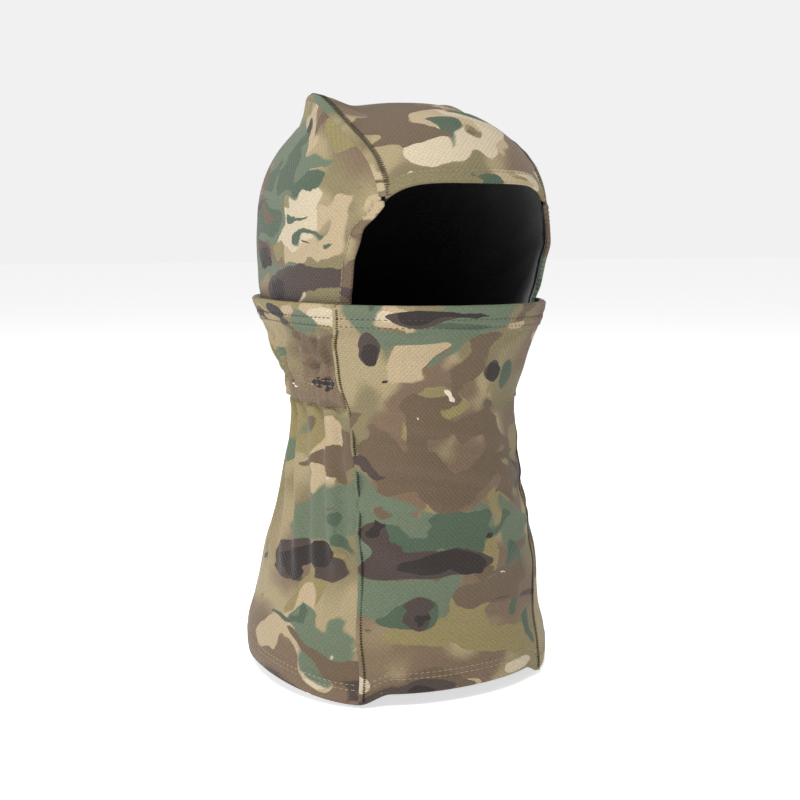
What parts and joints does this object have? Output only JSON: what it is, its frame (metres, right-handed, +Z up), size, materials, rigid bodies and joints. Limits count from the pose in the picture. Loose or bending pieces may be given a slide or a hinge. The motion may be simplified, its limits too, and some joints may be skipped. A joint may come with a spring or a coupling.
{
  "type": "camouflage face mask balaclava",
  "caption": "Full-head camouflage knit balaclava with a lined hood, a pull-down elastic-edged face cover and a neck gaiter.",
  "frame": {"origin": "where the crown of the wearer's head meets the hood's lining, above the middle of the neck tube", "axes": "+Z up; the face looks along -Y; the wearer's right is -X"},
  "size_m": [0.181, 0.2124, 0.342],
  "materials": {
    "camo_knit": "matte printed polyester knit with a fine diamond mesh, blotched camouflage of brown, olive, green, tan and cream",
    "camo_hem": "folded and double-stitched edge of the same printed knit",
    "black_lining": "matte black smooth knit lining",
    "seam_thread": "dull overlock thread, dark brown",
    "woven_elastic": "matte woven elastic tape"
  },
  "bodies": {
    "neck": {"neck_front_panel": "camo_knit", "neck_back_panel": "camo_knit", "gathered_band": "camo_knit", "band_elastic": "woven_elastic", "hood_collar": "camo_knit", "bottom_hem_front": "camo_hem", "bottom_hem_back": "camo_hem", "neck_seam_right": "seam_thread", "neck_seam_left": "seam_thread"},
    "face_cover": {"face_cover_hem": "camo_hem", "face_cover_elastic": "woven_elastic", "face_cover_panel": "camo_knit", "back_wing_hem": "camo_hem", "back_wing": "camo_knit", "cover_seam_right": "seam_thread", "cover_seam_left": "seam_thread"},
    "hood": {"hood_center_panel": "camo_knit", "hood_side_panel_right": "camo_knit", "hood_side_panel_left": "camo_knit", "hood_lining_right": "black_lining", "hood_lining_left": "black_lining", "brim_hem": "camo_hem", "opening_band_right": "camo_hem", "opening_band_left": "camo_hem", "crown_seam_right": "seam_thread", "crown_seam_left": "seam_thread"}
  },
  "joints": [
    {"name": "face_cover_pull", "type": "slide", "parent": "neck", "child": "face_cover", "axis": [0, 0, -1], "range_m": [0, 0.065]},
    {"name": "hood_push_back", "type": "hinge", "parent": "neck", "child": "hood", "pos_m": [0, 0.11, -0.1165], "axis": [-1, 0, 0], "range_deg": [0, 105]}
  ]
}
